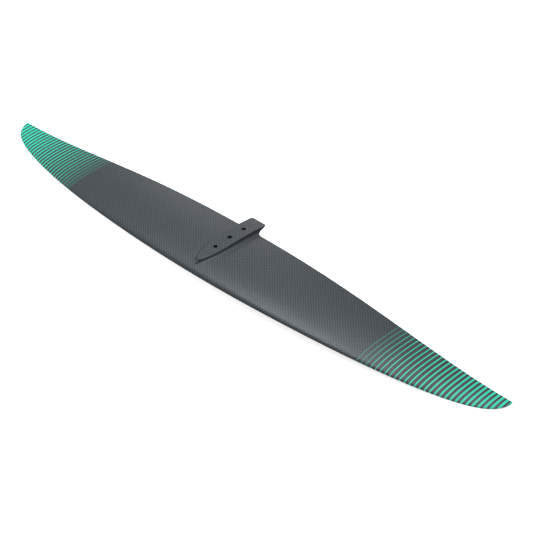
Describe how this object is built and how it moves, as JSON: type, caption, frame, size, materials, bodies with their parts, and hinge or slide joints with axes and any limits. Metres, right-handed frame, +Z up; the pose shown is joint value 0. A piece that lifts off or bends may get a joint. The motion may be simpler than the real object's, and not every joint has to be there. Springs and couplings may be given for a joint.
{
  "type": "hydrofoil front wing",
  "caption": "High-aspect carbon hydrofoil front wing with drooped, swept tips and an arched saddle for three fuselage screws; carbon twill finish with striped teal tips.",
  "frame": {"origin": "axis of the middle fuselage screw, on the crown of the saddle's arched seat", "axes": "+X along the span to the right wing tip, +Y aft towards the trailing edge and the saddle's tail, +Z up, out of the seat along the screw axes"},
  "size_m": [1.0354, 0.1486, 0.0405],
  "materials": {
    "carbon_twill": "satin clear-coated carbon twill with teal striped tips",
    "carbon_saddle": "satin clear-coated carbon twill",
    "carbon_unidirectional": "bare unidirectional carbon",
    "glass_block": "sawn glass-epoxy laminate",
    "foam": "closed-cell structural foam",
    "filler": "carbon-filled epoxy",
    "steel": "turned stainless steel"
  },
  "bodies": {
    "root": {"upper_skin": "carbon_twill", "lower_skin": "carbon_twill", "saddle_shell": "carbon_saddle", "saddle_block": "glass_block", "centre_block": "glass_block", "upper_spar_cap": "carbon_unidirectional", "lower_spar_cap": "carbon_unidirectional", "front_ferrule": "steel", "middle_ferrule": "steel", "rear_ferrule": "steel", "left_leading_edge_strip": "filler", "left_trailing_edge_strip": "filler", "left_tip_block": "filler", "left_shear_web": "carbon_unidirectional", "left_front_core": "foam", "left_rear_core": "foam", "right_leading_edge_strip": "filler", "right_trailing_edge_strip": "filler", "right_tip_block": "filler", "right_shear_web": "carbon_unidirectional", "right_front_core": "foam", "right_rear_core": "foam"}
  },
  "joints": []
}
